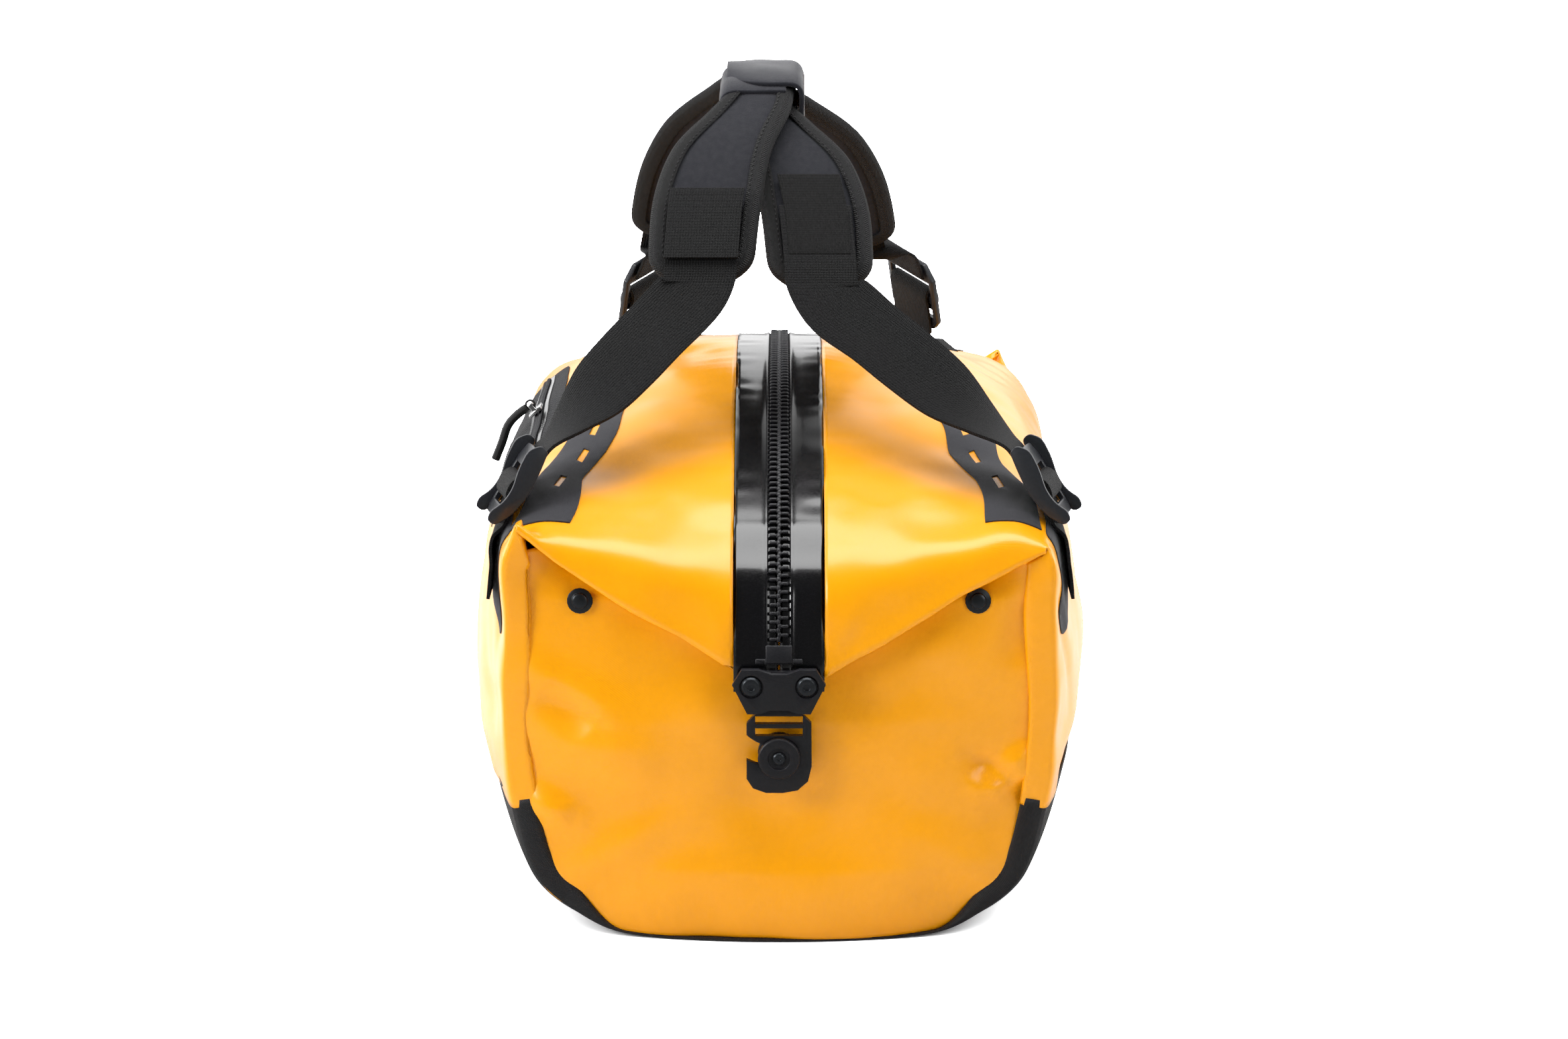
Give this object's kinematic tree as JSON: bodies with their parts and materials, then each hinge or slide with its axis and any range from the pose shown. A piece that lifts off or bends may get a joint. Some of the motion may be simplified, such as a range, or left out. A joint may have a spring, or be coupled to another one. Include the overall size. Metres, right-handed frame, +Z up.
{
  "type": "waterproof duffel bag",
  "caption": "Filled waterproof duffel with one long zip on top, a reinforced base, end hooks on studs, a side pocket and two padded straps held in a wrap grip.",
  "frame": {"origin": "middle of the footprint, on the surface that the bag stands on", "axes": "+Z up, +Y along the zip towards the end where its slider is parked, +X to the right seen from the other end"},
  "size_m": [0.346, 0.5142, 0.4456],
  "materials": {
    "tarpaulin": "glossy coated tarpaulin with a fine weave",
    "base_fabric": "matt coated twill",
    "zip_tape": "satin",
    "felt_fabric": "matt",
    "webbing": "ribbed",
    "neoprene": "brushed knit over foam",
    "black_plastic": "fine grain",
    "black_steel": "black coated",
    "bright_metal": "polished",
    "rubber": "matt"
  },
  "bodies": {
    "bag": {"anchor_patch_far_left": "felt_fabric", "anchor_patch_far_right": "felt_fabric", "anchor_patch_near_left": "felt_fabric", "anchor_patch_near_right": "felt_fabric", "anchor_tab_far_left": "webbing", "anchor_tab_far_right": "webbing", "anchor_tab_near_left": "webbing", "anchor_tab_near_right": "webbing", "base_panel": "base_fabric", "corner_fastener_far_left": "black_steel", "corner_fastener_far_right": "black_steel", "corner_fastener_near_left": "black_steel", "corner_fastener_near_right": "black_steel", "daisy_strip_left": "felt_fabric", "daisy_strip_right": "felt_fabric", "end_panel_far": "tarpaulin", "end_panel_near": "tarpaulin", "end_plate_far": "black_plastic", "end_plate_near": "black_plastic", "hook_stud_far": "black_plastic", "hook_stud_near": "black_plastic", "plate_screw_far_left": "black_steel", "plate_screw_far_right": "black_steel", "plate_screw_near_left": "black_steel", "plate_screw_near_right": "black_steel", "pocket_panel": "felt_fabric", "pocket_zip": "zip_tape", "side_panel_left": "tarpaulin", "side_panel_right": "tarpaulin", "stud_screw_far": "black_steel", "stud_screw_near": "black_steel", "zip_end_stop_far": "black_plastic", "zip_end_stop_near": "black_plastic", "zip_tape_left": "zip_tape", "zip_tape_right": "zip_tape", "zip_teeth_left": "black_plastic", "zip_teeth_right": "black_plastic"},
    "hook_near": {"end_hook_near": "black_plastic"},
    "hook_far": {"end_hook_far": "black_plastic"},
    "slider": {"zip_slider": "black_plastic"},
    "pull": {"zip_pull": "black_plastic"},
    "pocket_slider_body": {"pocket_slider": "bright_metal"},
    "puller": {"pocket_puller": "rubber"},
    "right_strap": {"shoulder_pad_right": "neoprene", "strap_webbing_near_right": "webbing", "ladder_lock_near_right": "black_plastic", "anchor_webbing_near_right": "webbing", "strap_webbing_far_right": "webbing", "ladder_lock_far_right": "black_plastic", "anchor_webbing_far_right": "webbing"},
    "left_strap": {"shoulder_pad_left": "neoprene", "strap_webbing_near_left": "webbing", "ladder_lock_near_left": "black_plastic", "anchor_webbing_near_left": "webbing", "strap_webbing_far_left": "webbing", "ladder_lock_far_left": "black_plastic", "anchor_webbing_far_left": "webbing", "grip_wrap": "neoprene"},
    "flap": {"grip_flap": "neoprene"}
  },
  "joints": [
    {"name": "near_hook_swivel", "type": "hinge", "parent": "bag", "child": "hook_near", "pos_m": [0, -0.2499, 0.137], "axis": [0, -1, 0], "range_deg": [0, 45]},
    {"name": "far_hook_swivel", "type": "hinge", "parent": "bag", "child": "hook_far", "pos_m": [0, 0.2499, 0.137], "axis": [0, 1, 0], "range_deg": [0, 45]},
    {"name": "zip_slider_travel", "type": "hinge", "parent": "bag", "child": "slider", "pos_m": [0, 0, -0.1342], "axis": [1, 0, 0], "range_deg": [0, 57]},
    {"name": "zip_pull_flip", "type": "hinge", "parent": "slider", "child": "pull", "pos_m": [0, 0.20147, 0.2325], "axis": [1, 0, 0], "range_deg": [0, 150]},
    {"name": "pocket_slider_travel", "type": "hinge", "parent": "bag", "child": "pocket_slider_body", "pos_m": [0, 0, -1.0902], "axis": [1, 0, 0], "range_deg": [-3.6, 2.75]},
    {"name": "pocket_puller_swing", "type": "hinge", "parent": "pocket_slider_body", "child": "puller", "pos_m": [-0.14559, -0.01508, 0.24713], "axis": [0, 1, 0], "range_deg": [0, 60]},
    {"name": "right_strap_fold", "type": "hinge", "parent": "bag", "child": "right_strap", "pos_m": [0.15788, -0.18648, 0.20575], "axis": [-0.1889, 0.9746, 0.12], "range_deg": [0, 85]},
    {"name": "left_strap_fold", "type": "hinge", "parent": "bag", "child": "left_strap", "pos_m": [-0.15788, -0.18648, 0.20575], "axis": [0.1889, 0.9746, 0.12], "range_deg": [-85, 0]},
    {"name": "grip_flap_open", "type": "hinge", "parent": "left_strap", "child": "flap", "pos_m": [0.0107, 0, 0.4167], "axis": [0, 1, 0], "range_deg": [0, 110]}
  ],
  "couplings": [
    {"joint": "left_strap_fold", "follows": "right_strap_fold", "ratio": -1},
    {"joint": "grip_flap_open", "follows": "right_strap_fold", "ratio": 1.1}
  ]
}
